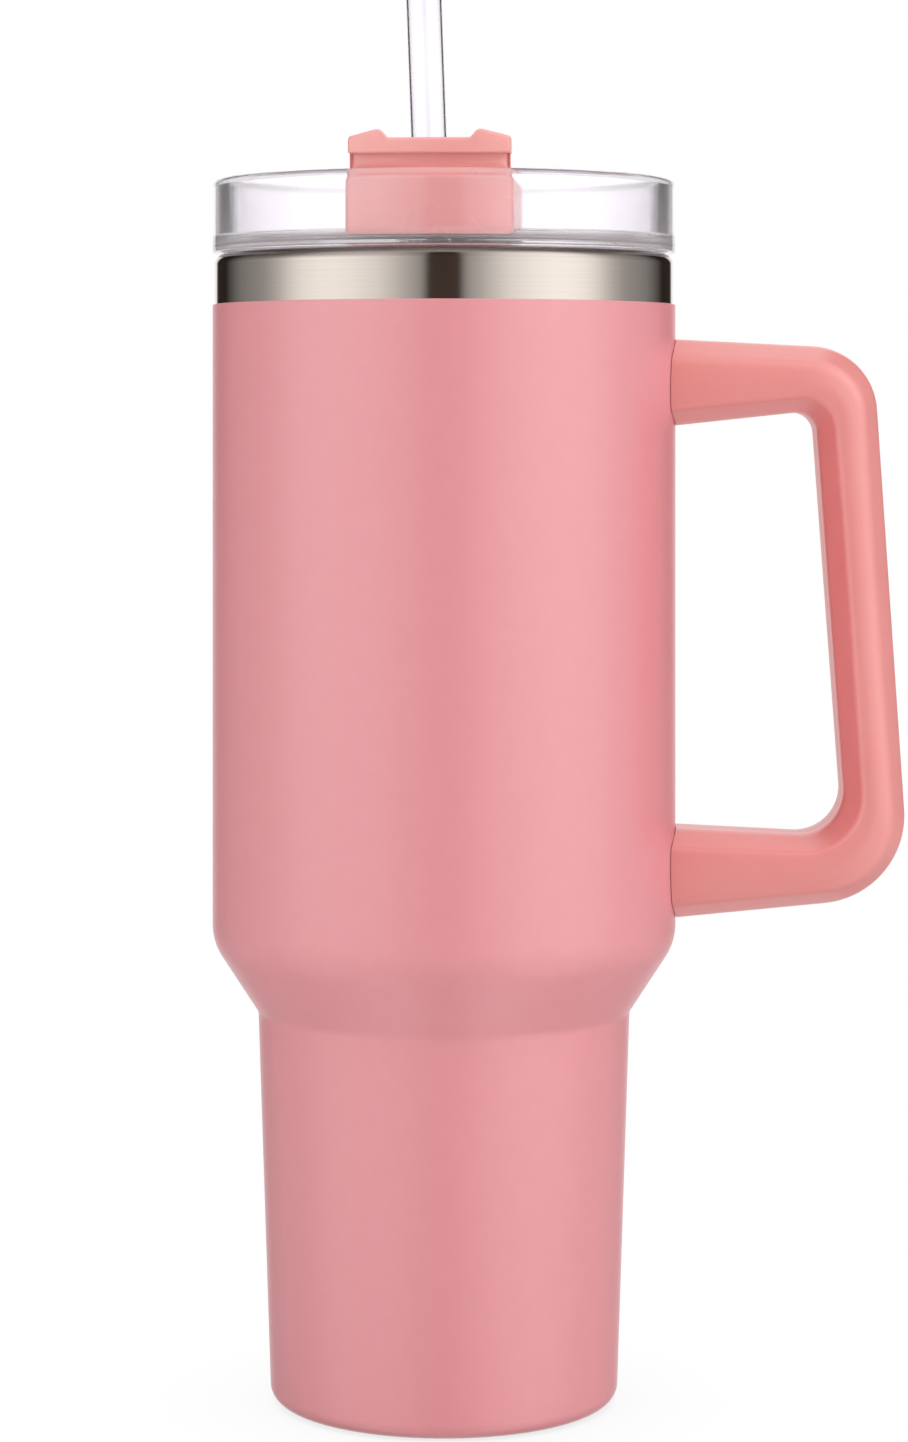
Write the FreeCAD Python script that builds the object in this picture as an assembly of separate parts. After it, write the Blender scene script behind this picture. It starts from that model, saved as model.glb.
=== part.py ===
import FreeCAD, Part

import math
import os

# Insulated tumbler with handle, clear push-in lid, turning cover and straw.
#
# Millimetres, +Z up. Origin: centre of the resting ring, on the table plane. The handle points
# along +X; the drinking side and the cover's grip point along -Y, the front. Every piece is
# closed and is written to parts/NODE.step.

Vector = FreeCAD.Vector

# ---------------------------------------------------------------- vessel sizes
BODY_R = 50.0            # outer radius of the painted upper body
NECK_R = 40.1            # painted radius at the waist crease
FOOT_R = 37.35           # painted radius projected to the table plane
FOOT_RING_R = 30.5       # inner edge of the painted resting ring
CREASE_Z = 83.9          # waist crease
SHOULDER_Z = 99.1        # where the shoulder cone meets the upper cylinder
PAINT_TOP_Z = 236.1      # powder coat stops here, bare steel above
LIP_Z = 247.6            # top of the steel lip
FOOT_FILLET = 3.6
CREASE_FILLET = 3.0
SHOULDER_FILLET = 12.0
LIP_FILLET = 2.75

COAT_T = 0.35            # powder coat, thicker than a real film so that it is a solid
SHELL_T = 0.6            # outer steel wall
LINER_T = 0.6            # inner steel wall
FOIL_T = 0.25
FOIL_GAP = 0.05          # between liner and foil
FOIL_TOP_Z = 229.0
LINER_MOUTH_R = 46.6     # inner radius of the mouth, where the lid's seal runs
LINER_R = 45.85          # inner radius of the drink side, upper part
LINER_NECK_R = 35.95
LINER_FOOT_R = 33.6
LINER_FLOOR_Z = 11.0
BASE_R = FOOT_RING_R - 0.02

# ---------------------------------------------------------------- handle sizes
HANDLE_HALF = 13.4       # half the handle's depth, front to back
HANDLE_WALL = 2.4
HANDLE_SOFT = 5.0        # fillet on the long outer edges
HOLLOW_SOFT = 2.6        # fillet on the long edges of the hollow
HANDLE_GAP_R = BODY_R + 0.45   # the handle's ends stop just clear of the painted body
HOLLOW_CLEAR_R = HANDLE_GAP_R - 3
SEAM = 0.05              # half the parting gap between the two handle halves

# Side view of the loop: X, Z, corner radius.
# The outer edge runs from the top root to the bottom root, the inner edge runs back.
HANDLE_OUTER = [(44.0, 228.95), (92.4, 226.5, 14.5), (100.35, 109.0, 19.0), (44.0, 103.6)]
HANDLE_INNER = [(44.0, 123.75), (86.6, 121.6, 9.5), (79.8, 213.3, 4.5), (44.0, 209.45)]

# Screw places along the loop: X, Z. The first and last also hold the weld brackets.
SCREWS = [(61.0, 219.6), (86.9, 213.3), (89.9, 119.4), (61.0, 113.9)]
ROOT_SCREWS = (SCREWS[0], SCREWS[3])
FRONT_POST_R = 3.6
REAR_POST_R = FRONT_POST_R + 1.2
POST_END_Y = 12.2
ROOT_POST_Y = 1.35       # root posts stop here, leaving room for the bracket's fin
PILOT_R = 1.42           # screw hole in the front half
PILOT_END_Y = -9.6
CLEARANCE_R = 1.65       # screw hole in the rear half
COUNTERBORE_R = 3.45
HEAD_Y = 8.2             # where the screw head seats, towards the back
SHANK_R = 1.4
SHANK_END_Y = -9.4
HEAD_R = 2.9
HEAD_TOP_Y = HEAD_Y + 1.7
PLUG_R = 3.4
PAST_BACK_Y = 30         # beyond the back of the handle

BRACKET_T = 1.3
SADDLE_HALF_W = 8.5
SADDLE_HALF_H = 5.0
FIN_HALF_T = 1.25
FIN_HALF_H = 4.2
FIN_REACH = 5.0          # fin beyond the screw's axis
FIN_HOLE_R = 1.7
COAT_GAP = 0.1           # bare steel around a saddle

# ---------------------------------------------------------------- lid and disc sizes
LID_TURN = 4.2           # degrees the lid is set round from square to the handle
LID_R = BODY_R
LID_TOP_Z = 262.9
LID_WALL_IN_R = LID_R - 3.6
DECK_TOP_Z = 249.0
DECK_LOW_Z = DECK_TOP_Z - 1.9
DECK_FILLET = 2.5
FLANGE_Z = LIP_Z + 0.15  # underside of the lid's flange, over the steel lip
SKIRT_R = 44.9
SKIRT_IN_R = 42.4
SKIRT_LOW_Z = 237.2
GROOVE_R = 43.3          # seal groove
GROOVE_LOW_Z = 239.6
GROOVE_TOP_Z = 244.0
BOSS_R = 9.5
BOSS_TOP_Z = 256.0

HUB_R = 6.0              # cover's spindle
HUB_BORE_R = HUB_R + 0.05
HUB_LOW_Z = 241.6
FLAT_HALF = 4.4          # half the distance across the spindle's flats
DISC_FIT = 0.06          # clearance of the disc on the spindle
CLIP_GROOVE_R = 4.0
CLIP_GROOVE_Z = (243.2, 244.7)

# Slot angles are degrees round from the front towards +X; the end radii come on top.
SLOT_R = 29.0            # centre line of the drinking slot
LID_SLOT_W = 11.0
LID_SLOT_ANGLES = (-2.0, 62.0)
DISC_SLOT_W = 9.0
DISC_SLOT_ANGLES = (-58.0, -46.0)
SMALL_HOLE_R = 1.5
LID_HOLE_ANGLE = 180
DISC_HOLE_ANGLE = 120
LID_CUT_Z = (240, 252)   # heights that cut right through the deck
DISC_CUT_Z = (240, 250)  # heights that cut right through the disc
DISC_R = 38.5
DISC_TOP_Z = 247.0
DISC_LOW_Z = DISC_TOP_Z - 2.1
DISC_STRAW_HOLE_R = 4.5

# ---------------------------------------------------------------- cover and straw sizes
COVER_HALF_W = 16.9
COVER_FRONT_R = 44.6     # front arc about the pivot, just inside the lid's wall
COVER_LOW_Z = 249.35
COVER_TOP_Z = 262.0
COVER_WALL = 2.0
COVER_FRONT_WALL = 2.2
COVER_ROOF = 2.2
ROOF_JOIN_Z = COVER_TOP_Z - 1.0   # hub and collar end inside the roof

CAP_FRONT = 44.4         # cap and stem depths are distances towards -Y
CAP_BACK = 36.4
CAP_ARC_R = 64.0
STEM_FRONT = 41.2
STEM_BACK = 38.2
STEM_HALF_W = 16.6
STEM_ARC_R = 60.0
CAP_LOW_Z = 266.2
CAP_DIP_Z = 269.4
CAP_EAR_Z = 271.2
CAP_END_Z = 269.7

STRAW_R = 3.8
STRAW_IN_R = STRAW_R - 0.45
STRAW_LOW_Z = 14.0
STRAW_TOP_Z = 312.0
STRAW_AT = Vector(-0.7, -29.0, 261.0)        # point on its axis, before the lid is set round
STRAW_LEAN = Vector(-0.0345, -0.0198, 1.0)   # X and Y per millimetre of height
GROMMET_BORE_R = STRAW_R + 0.05
COLLAR_R = 7.4
COLLAR_BORE_R = 5.45


# ---------------------------------------------------------------- helpers
def line(start, end):
    return Part.LineSegment(start, end).toShape()


def arc(start, middle, end):
    return Part.Arc(start, middle, end).toShape()


def rounded_edges(path, closed):
    """Line and arc edges through (r, z[, fillet]) points in the XZ plane."""
    count = len(path)
    corners = [Vector(p[0], 0, p[1]) for p in path]
    starts, ends, middles = list(corners), list(corners), [None] * count
    for i, point in enumerate(path):
        fillet = point[2] if len(point) > 2 else 0.0
        if fillet <= 0 or (not closed and i in (0, count - 1)):
            continue
        corner = corners[i]
        back = corners[i - 1] - corner
        ahead = corners[(i + 1) % count] - corner
        back.normalize()
        ahead.normalize()
        half_angle = math.acos(max(-1, min(1, back.dot(ahead)))) / 2
        trim = fillet / math.tan(half_angle)
        starts[i], ends[i] = corner + back * trim, corner + ahead * trim
        bisector = back + ahead
        bisector.normalize()
        middles[i] = corner + bisector * (fillet / math.sin(half_angle) - fillet)
    edges = []
    for i in range(count):
        if middles[i] is not None:
            edges.append(arc(starts[i], middles[i], ends[i]))
        if closed or i < count - 1:
            following = starts[(i + 1) % count]
            if ends[i].distanceToPoint(following) > 1e-6:
                edges.append(line(ends[i], following))
    return edges


def profile_face(profile):
    return Part.Face(Part.Wire(rounded_edges(profile, True)))


def spin(face):
    return face.revolve(Vector(0, 0, 0), Vector(0, 0, 1), 360)


def revolve(profile):
    """A solid of revolution about Z from a closed profile."""
    return spin(profile_face(profile))


def offset_path(path, distance):
    """The open path moved to its left, corner radii kept tangent."""
    steps = [(b[0] - a[0], b[1] - a[1]) for a, b in zip(path, path[1:])]
    normals = [(-dz / math.hypot(dx, dz), dx / math.hypot(dx, dz)) for dx, dz in steps]
    moved = []
    for i, point in enumerate(path):
        if i in (0, len(path) - 1):
            nx, nz = normals[0 if i == 0 else -1]
            moved.append((point[0] + nx * distance, point[1] + nz * distance, 0.0))
            continue
        before, after = normals[i - 1], normals[i]
        spread = 1 + before[0] * after[0] + before[1] * after[1]
        x = point[0] + distance * (before[0] + after[0]) / spread
        z = point[1] + distance * (before[1] + after[1]) / spread
        fillet = point[2] if len(point) > 2 else 0.0
        if fillet:
            turn = steps[i - 1][0] * steps[i][1] - steps[i - 1][1] * steps[i][0]
            fillet = max(0.0, fillet - distance if turn > 0 else fillet + distance)
        moved.append((x, z, fillet))
    return moved


def face_between(one, two, links):
    """The face between two open paths; links are the point pairs that close it."""
    edges = rounded_edges(one, False) + rounded_edges(two, False)
    for a, b in links:
        edges.append(line(Vector(a[0], 0, a[1]), Vector(b[0], 0, b[1])))
    return Part.Face(Part.Wire(Part.__sortEdges__(edges)))


def band(path, near, far):
    """A solid of revolution between two left offsets of an open path."""
    one, two = offset_path(path, near), offset_path(path, far)
    return spin(face_between(one, two, [(one[0], two[0]), (one[-1], two[-1])]))


def cylinder(radius, z0, z1, x=0.0, y=0.0):
    return Part.makeCylinder(radius, z1 - z0, Vector(x, y, z0))


def y_cylinder(radius, y0, y1, x, z):
    return Part.makeCylinder(radius, y1 - y0, Vector(x, y0, z), Vector(0, 1, 0))


def box(x0, x1, y0, y1, z0, z1):
    return Part.makeBox(x1 - x0, y1 - y0, z1 - z0, Vector(x0, y0, z0))


def polar(radius, angle, z=0.0):
    """The point at an angle in degrees round from the front (-Y) towards +X."""
    angle = math.radians(angle)
    return Vector(radius * math.sin(angle), -radius * math.cos(angle), z)


def arc_slot(width, angles, z0, z1):
    """A round-ended slot along the SLOT_R arc about Z."""
    first, last = angles
    middle = (first + last) / 2
    inner, outer = SLOT_R - width / 2, SLOT_R + width / 2

    def tip(angle, side):
        return polar(SLOT_R, angle, z0) + polar(width / 2, angle + 90 * side)

    edges = [
        arc(polar(outer, first, z0), polar(outer, middle, z0), polar(outer, last, z0)),
        arc(polar(outer, last, z0), tip(last, 1), polar(inner, last, z0)),
        arc(polar(inner, last, z0), polar(inner, middle, z0), polar(inner, first, z0)),
        arc(polar(inner, first, z0), tip(first, -1), polar(outer, first, z0)),
    ]
    return Part.Face(Part.Wire(edges)).extrude(Vector(0, 0, z1 - z0))


def small_hole(angle, z0, z1):
    """Cutter for the small round hole on the SLOT_R circle."""
    place = polar(SLOT_R, angle)
    return cylinder(SMALL_HOLE_R, z0, z1, place.x, place.y)


def fillet_where(shape, radius, test):
    """Fillets the edges that pass the test."""
    picked = [e for e in shape.Edges if test(e.BoundBox)]
    if not picked:
        return shape
    # Guards a fillet the kernel cannot build: a smaller one is tried, then the edges stay sharp.
    for size in (radius, radius * 0.6):
        try:
            return shape.makeFillet(size, picked)
        except Exception:
            pass
    return shape


def straw_cylinder(radius, z0, z1):
    """A cylinder along the straw's leaning axis, square to it, between two heights."""
    start = STRAW_AT + STRAW_LEAN * (z0 - STRAW_AT.z)
    return Part.makeCylinder(radius, (z1 - z0) * STRAW_LEAN.Length, start, STRAW_LEAN)


def biggest(shape):
    return max(shape.Solids, key=lambda solid: solid.Volume)


# ---------------------------------------------------------------- vessel
# Paths and profiles are r, z, corner radius.
SKIN = [
    (FOOT_RING_R, 0.0),
    (FOOT_R, 0.0, FOOT_FILLET),
    (NECK_R, CREASE_Z, CREASE_FILLET),
    (BODY_R, SHOULDER_Z, SHOULDER_FILLET),
    (BODY_R, LIP_Z + COAT_T, LIP_FILLET),
    (LINER_MOUTH_R + LINER_T, LIP_Z + COAT_T),
]
LINER_RISE = [
    (LINER_FOOT_R, LINER_FLOOR_Z, 8.0),
    (LINER_NECK_R, 85.0, 5.0),
    (LINER_R, 100.2, 10.0),
]


def outer_shell():
    return band(SKIN, COAT_T, COAT_T + SHELL_T)


def powder_coat():
    """The coat, with a bare window for each weld bracket."""
    coat = band(SKIN[:4] + [(BODY_R, PAINT_TOP_Z)], 0.0, COAT_T)
    half_w, half_h = SADDLE_HALF_W + COAT_GAP, SADDLE_HALF_H + COAT_GAP
    for _, z in ROOT_SCREWS:
        coat = coat.cut(box(40, 60, -half_w, half_w, z - half_h, z + half_h))
    return coat


def inner_liner():
    mouth = [
        (LINER_R, 232.0, 1.5),
        (LINER_MOUTH_R, 234.5, 1.5),
        (LINER_MOUTH_R, LIP_Z),
    ]
    return band([(0.0, LINER_FLOOR_Z)] + LINER_RISE + mouth, 0.0, -LINER_T)


def radiation_foil():
    """Foil round the outside of the liner, open in the middle of the floor."""
    path = [(LINER_FOOT_R - 7.0, LINER_FLOOR_Z)] + LINER_RISE + [(LINER_R, FOIL_TOP_Z)]
    start = LINER_T + FOIL_GAP
    return band(path, -start, -(start + FOIL_T))


def outer_base():
    """Pressed base inside the foot ring, with the evacuation port in its middle."""
    return revolve([
        (2.5, 4.2), (2.5, 4.8), (BASE_R - 2.3, 4.8, 1.6),
        (BASE_R, COAT_T + SHELL_T), (BASE_R, COAT_T),
        (BASE_R - 0.9, COAT_T, 0.3), (BASE_R - 2.5, 4.2, 1.0),
    ])


def vacuum_seal_bead():
    return revolve([
        (0, 3.7), (1.9, 3.7, 0.35), (2.45, 4.1), (2.45, 4.85),
        (3.3, 4.85), (2.7, 5.5, 0.4), (0, 5.8),
    ])


def base_disc():
    """Disc under the base, with a shallow ring groove in its underside."""
    plate = revolve([(0, 2.7), (27.6, 2.7, 0.35), (27.6, 3.5, 0.35), (0, 3.5)])
    groove = revolve([(22.6, 2.4), (23.0, 2.4), (23.0, 2.85), (22.6, 2.85)])
    return plate.cut(groove)


def getter_pill():
    return revolve([(0, 7.7), (4.6, 7.7, 0.4), (4.6, 10.2, 0.4), (0, 10.2)])


def getter_holder():
    return revolve([
        (3.2, 7.2), (5.2, 7.2, 0.4), (5.2, 10.1), (7.6, 10.1),
        (7.6, 10.35), (4.85, 10.35), (4.85, 7.5), (3.2, 7.5),
    ])


# ---------------------------------------------------------------- handle
def handle_solid(inset, half, soft):
    """The loop's side view, taken inwards by inset, given its depth and soft long edges."""
    outer, inner = offset_path(HANDLE_OUTER, -inset), offset_path(HANDLE_INNER, -inset)
    face = face_between(outer, inner, [(outer[-1], inner[0]), (inner[-1], outer[0])])
    face.translate(Vector(0, -half, 0))
    solid = face.extrude(Vector(0, 2 * half, 0))

    def long_edge(bounds):
        flat = bounds.YLength < 1e-3 and abs(abs(bounds.YMin) - half) < 1e-3
        return flat and bounds.XMax > 45.5

    return solid.makeFillet(soft, [e for e in solid.Edges if long_edge(e.BoundBox)])


def handle_outside():
    """The whole handle without its hollow, cut clear of the body."""
    solid = handle_solid(0.0, HANDLE_HALF, HANDLE_SOFT)
    return solid.cut(cylinder(HANDLE_GAP_R, 90, 245))


def handle_hollow():
    solid = handle_solid(HANDLE_WALL, HANDLE_HALF - HANDLE_WALL, HOLLOW_SOFT)
    solid = solid.cut(cylinder(HOLLOW_CLEAR_R, 90, 245))
    return solid.common(box(30, 120, -40, 40, 80, 250))


def handle_half(outside, hollow, front):
    """One half of the handle, with its screw posts and holes."""
    y0, y1 = (-40, -SEAM) if front else (SEAM, 40)
    half = outside.common(box(40, 120, y0, y1, 80, 250)).cut(hollow)
    for x, z in SCREWS:
        post_y = ROOT_POST_Y if (x, z) in ROOT_SCREWS else SEAM
        if front:
            post = y_cylinder(FRONT_POST_R, -POST_END_Y, -post_y, x, z)
        else:
            post = y_cylinder(REAR_POST_R, post_y, POST_END_Y, x, z)
        half = half.fuse(post.common(outside))
    for x, z in SCREWS:
        if front:
            half = half.cut(y_cylinder(PILOT_R, PILOT_END_Y, 1.0, x, z))
        else:
            half = half.cut(y_cylinder(CLEARANCE_R, -1.0, PAST_BACK_Y, x, z))
            half = half.cut(y_cylinder(COUNTERBORE_R, HEAD_Y, PAST_BACK_Y, x, z))
    return biggest(half)


def handle_screw(x, z):
    """A round-headed screw along Y with a cross recess."""
    shank = y_cylinder(SHANK_R, SHANK_END_Y, HEAD_Y + 0.1, x, z)
    head = y_cylinder(HEAD_R, HEAD_Y + 0.02, HEAD_TOP_Y, x, z)
    head = fillet_where(head, 0.5, lambda bounds: bounds.YMin > HEAD_Y + 1.6)
    screw = shank.fuse(head).removeSplitter()
    long, short = 1.7, 0.35   # half sizes of each recess arm
    y0, y1 = HEAD_Y + 0.9, HEAD_Y + 3
    upright = box(x - short, x + short, y0, y1, z - long, z + long)
    level = box(x - long, x + long, y0, y1, z - short, z + short)
    return screw.cut(upright.fuse(level))


def screw_plug(outside, x, z):
    """Fills the counterbore behind a screw, flush with the handle."""
    return biggest(y_cylinder(PLUG_R, HEAD_Y + 1.8, PAST_BACK_Y, x, z).common(outside))


def bracket(x, z):
    """A stamped weld tab: a saddle on the steel wall with a fin for the handle screw."""
    wall_r = BODY_R - COAT_T
    z0, z1 = z - SADDLE_HALF_H, z + SADDLE_HALF_H
    saddle = cylinder(wall_r + BRACKET_T, z0, z1).cut(cylinder(wall_r, z0 - 1, z1 + 1))
    saddle = saddle.common(box(30, 60, -SADDLE_HALF_W, SADDLE_HALF_W, z0, z1))
    tip = x + FIN_REACH
    fin = box(wall_r + 0.6, tip, -FIN_HALF_T, FIN_HALF_T, z - FIN_HALF_H, z + FIN_HALF_H)
    fin = fin.cut(cylinder(wall_r + 0.2, z0 - 1, z1 + 1))
    fin = fillet_where(fin, 3.0, lambda b: abs(b.XMin - tip) < 1e-3 and b.YLength > 2)
    return saddle.fuse(fin).removeSplitter().cut(y_cylinder(FIN_HOLE_R, -3, 3, x, z))


# ---------------------------------------------------------------- lid
def lid_body():
    lid = revolve([
        (HUB_BORE_R, DECK_LOW_Z),
        (SKIRT_IN_R, DECK_LOW_Z, 1.0),
        (SKIRT_IN_R, SKIRT_LOW_Z, 0.6),
        (SKIRT_R, SKIRT_LOW_Z, 0.8),
        (SKIRT_R, GROOVE_LOW_Z),
        (GROOVE_R, GROOVE_LOW_Z),
        (GROOVE_R, GROOVE_TOP_Z),
        (SKIRT_R, GROOVE_TOP_Z),
        (SKIRT_R, FLANGE_Z),
        (LID_R, FLANGE_Z, 0.5),
        (LID_R, LID_TOP_Z, 1.3),
        (LID_WALL_IN_R, LID_TOP_Z, 1.3),
        (LID_WALL_IN_R - 0.25, DECK_TOP_Z, DECK_FILLET),
        (BOSS_R, DECK_TOP_Z, 0.5),
        (BOSS_R, BOSS_TOP_Z, 0.6),
        (HUB_BORE_R, BOSS_TOP_Z),
    ])
    lid = lid.cut(arc_slot(LID_SLOT_W, LID_SLOT_ANGLES, *LID_CUT_Z))
    return lid.cut(small_hole(LID_HOLE_ANGLE, *LID_CUT_Z))


def lid_seal():
    """Seal ring with two outward lips."""
    return revolve([
        (43.35, 239.8, 0.3), (45.0, 239.8, 0.3),
        (46.55, 240.7, 0.25), (46.55, 241.3, 0.25), (45.2, 241.75, 0.2),
        (46.55, 242.5, 0.25), (46.55, 243.1, 0.25),
        (45.0, 243.8, 0.3), (43.35, 243.8, 0.3),
    ])


# ---------------------------------------------------------------- turning cover
def tongue(half, front_r, z0, z1, corner):
    """The cover's plan: straight flanks, front an arc about the pivot, round back."""
    front_y = -math.sqrt(front_r ** 2 - half ** 2)
    right, left = Vector(half, 0, z0), Vector(-half, 0, z0)
    front_right, front_left = Vector(half, front_y, z0), Vector(-half, front_y, z0)
    outline = [
        line(right, front_right),
        arc(front_right, Vector(0, -front_r, z0), front_left),
        line(front_left, left),
        arc(left, Vector(0, half, z0), right),
    ]
    solid = Part.Face(Part.Wire(outline)).extrude(Vector(0, 0, z1 - z0))
    return fillet_where(
        solid, corner, lambda b: b.ZLength > (z1 - z0) * 0.9 and b.YMax < front_y + 0.01)


def cover_block():
    """The cover's main shell, open below."""
    block = tongue(COVER_HALF_W, COVER_FRONT_R, COVER_LOW_Z, COVER_TOP_Z, 1.8)
    block = fillet_where(block, 1.2, lambda b: b.ZMin > COVER_TOP_Z - 0.01)
    return block.cut(tongue(COVER_HALF_W - COVER_WALL, COVER_FRONT_R - COVER_FRONT_WALL,
                            COVER_LOW_Z - 1, COVER_TOP_Z - COVER_ROOF, 0.8))


def grip_stem():
    """Upright web between the cover and the grip's cap, its front a shallow arc."""
    stem = box(-STEM_HALF_W, STEM_HALF_W, -50.0, -STEM_BACK,
               COVER_TOP_Z - 1.5, CAP_LOW_Z + 0.8)
    stem = stem.common(cylinder(STEM_ARC_R, 250, 280, 0, STEM_ARC_R - STEM_FRONT))
    return fillet_where(stem, 1.0, lambda b: b.ZLength > 5)


def grip_cap():
    """Cap of the grip, dipped in the middle, its front a shallow arc in plan."""
    # X, Z, corner radius
    cap = profile_face([
        (-16.8, CAP_LOW_Z, 0.4), (16.8, CAP_LOW_Z, 0.4), (16.8, CAP_END_Z, 0.5),
        (10.8, CAP_EAR_Z, 0.4), (10.1, CAP_EAR_Z, 0.3), (8.8, CAP_DIP_Z, 0.8),
        (-8.8, CAP_DIP_Z, 0.8), (-10.1, CAP_EAR_Z, 0.3), (-10.8, CAP_EAR_Z, 0.4),
        (-16.8, CAP_END_Z, 0.5),
    ]).extrude(Vector(0, CAP_FRONT - CAP_BACK, 0))
    cap.translate(Vector(0, -CAP_FRONT, 0))
    return cap.common(cylinder(CAP_ARC_R, 260, 280, 0, CAP_ARC_R - CAP_FRONT))


def spindle():
    """Hollow spindle with a clip groove and two flats that drive the sealing disc."""
    hub = cylinder(HUB_R, HUB_LOW_Z, ROOF_JOIN_Z)
    flat_top = DECK_LOW_Z - 0.05
    flats = box(-10, 10, -10, -FLAT_HALF, 241, flat_top).fuse(
        box(-10, 10, FLAT_HALF, 10, 241, flat_top))
    hub = hub.cut(flats)
    groove = cylinder(12, *CLIP_GROOVE_Z).cut(cylinder(CLIP_GROOVE_R, *CLIP_GROOVE_Z))
    return hub.cut(groove).cut(cylinder(3.4, 240, 258.5))


def turning_cover():
    cover = cover_block().fuse(grip_stem()).fuse(grip_cap()).fuse(spindle())
    # collar that carries the straw grommet
    x, y = STRAW_AT.x, STRAW_AT.y
    cover = cover.fuse(cylinder(COLLAR_R, COVER_TOP_Z - 4.2, ROOF_JOIN_Z, x, y))
    cover = cover.cut(cylinder(COLLAR_BORE_R, 255, 270, x, y))
    # two drain notches at the foot of each flank
    for y in (-8.0, 6.0):
        cover = cover.cut(box(-40, 40, y - 1.2, y + 1.2, COVER_LOW_Z - 1, COVER_LOW_Z + 0.8))
    return cover


def straw_grommet():
    grommet = revolve([
        (3.0, 256.6), (6.1, 256.6, 0.5), (6.1, 257.75, 0.2),
        (5.4, 257.75), (5.4, 262.05),
        (6.35, 262.05, 0.2), (6.35, 262.9, 0.5), (4.9, 263.3, 0.5), (3.0, 263.0),
    ])
    grommet.translate(Vector(STRAW_AT.x, STRAW_AT.y, 0))
    return grommet.cut(straw_cylinder(GROMMET_BORE_R, 250, 270))


def sealing_disc():
    """Disc under the deck, driven by the spindle's flats."""
    disc = revolve([(0, DISC_LOW_Z), (DISC_R, DISC_LOW_Z, 0.5),
                    (DISC_R, DISC_TOP_Z, 0.4), (0, DISC_TOP_Z)])
    half = FLAT_HALF + DISC_FIT
    drive_hole = cylinder(HUB_R + DISC_FIT, *DISC_CUT_Z).common(
        box(-10, 10, -half, half, *DISC_CUT_Z))
    disc = disc.cut(drive_hole)
    disc = disc.cut(straw_cylinder(DISC_STRAW_HOLE_R, *DISC_CUT_Z))
    disc = disc.cut(arc_slot(DISC_SLOT_W, DISC_SLOT_ANGLES, *DISC_CUT_Z))
    return disc.cut(small_hole(DISC_HOLE_ANGLE, *DISC_CUT_Z))


def spindle_clip():
    """Flat ring for the spindle's groove, open towards +Y."""
    clip = cylinder(8.2, 243.3, 244.55).cut(cylinder(CLIP_GROOVE_R + 0.05, 243, 245))
    clip = clip.cut(box(-3.7, 3.7, 0, 12, 243, 245))
    return fillet_where(
        clip, 0.8, lambda b: b.ZLength > 1 and b.YMin > 3.0 and b.XLength < 0.01)


def straw():
    """Leaning tube with softened rims."""
    tube = straw_cylinder(STRAW_R, STRAW_LOW_Z, STRAW_TOP_Z)
    tube = tube.cut(straw_cylinder(STRAW_IN_R, STRAW_LOW_Z - 2, STRAW_TOP_Z + 2))
    return tube.makeFillet(0.15, [e for e in tube.Edges if len(e.Vertexes) == 1])


# ---------------------------------------------------------------- write
def write(name, shape):
    solids = shape.Solids
    piece = solids[0] if len(solids) == 1 else Part.makeCompound(solids)
    piece.exportStep("parts/%s.step" % name)


os.makedirs("parts", exist_ok=True)

for build in (outer_shell, powder_coat, inner_liner, radiation_foil, outer_base,
              vacuum_seal_bead, base_disc, getter_pill, getter_holder, lid_seal):
    write(build.__name__, build().removeSplitter())

for name, place in zip(("upper_bracket", "lower_bracket"), ROOT_SCREWS):
    write(name, bracket(*place).removeSplitter())

outside, hollow = handle_outside(), handle_hollow()
write("handle_front_shell", handle_half(outside, hollow, front=True))
write("handle_rear_shell", handle_half(outside, hollow, front=False))
write("handle_screws", Part.makeCompound([handle_screw(x, z) for x, z in SCREWS]))
write("handle_screw_plugs", Part.makeCompound([screw_plug(outside, x, z) for x, z in SCREWS]))

# These are set round together with the lid.
for build in (lid_body, turning_cover, straw_grommet, sealing_disc, spindle_clip, straw):
    shape = build()
    shape.rotate(Vector(0, 0, 0), Vector(0, 0, 1), -LID_TURN)
    write(build.__name__, shape.removeSplitter())
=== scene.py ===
"""Insulated tumbler with side handle, clear lid, turning cover and straw. Metres, +Z up, handle towards +X."""

import math

import bmesh
import bpy
from mathutils import Matrix, Vector


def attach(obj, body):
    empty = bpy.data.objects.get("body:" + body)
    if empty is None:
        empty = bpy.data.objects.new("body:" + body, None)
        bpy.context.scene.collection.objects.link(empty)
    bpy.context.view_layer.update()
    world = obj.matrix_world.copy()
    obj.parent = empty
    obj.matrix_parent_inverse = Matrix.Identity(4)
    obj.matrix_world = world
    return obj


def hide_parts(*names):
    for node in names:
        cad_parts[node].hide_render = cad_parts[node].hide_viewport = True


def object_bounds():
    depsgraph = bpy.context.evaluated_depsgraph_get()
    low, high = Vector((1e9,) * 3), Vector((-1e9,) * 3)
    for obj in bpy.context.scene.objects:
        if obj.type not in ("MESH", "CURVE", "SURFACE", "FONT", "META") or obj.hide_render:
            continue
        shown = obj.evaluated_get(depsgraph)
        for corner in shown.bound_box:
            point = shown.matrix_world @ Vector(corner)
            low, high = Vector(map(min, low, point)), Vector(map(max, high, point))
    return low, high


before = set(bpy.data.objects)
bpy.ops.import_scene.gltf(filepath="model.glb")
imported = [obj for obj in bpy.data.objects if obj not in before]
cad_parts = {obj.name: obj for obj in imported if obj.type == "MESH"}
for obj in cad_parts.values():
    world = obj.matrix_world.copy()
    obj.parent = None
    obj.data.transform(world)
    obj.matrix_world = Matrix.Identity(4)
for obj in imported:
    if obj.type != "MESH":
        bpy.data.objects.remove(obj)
CAD_LO, CAD_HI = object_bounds()
CAD_LO, CAD_HI = CAD_LO.copy(), CAD_HI.copy()

MM = 0.001
TURN = math.radians(-4.2)          # how far the lid is set round from square to the handle

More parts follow.
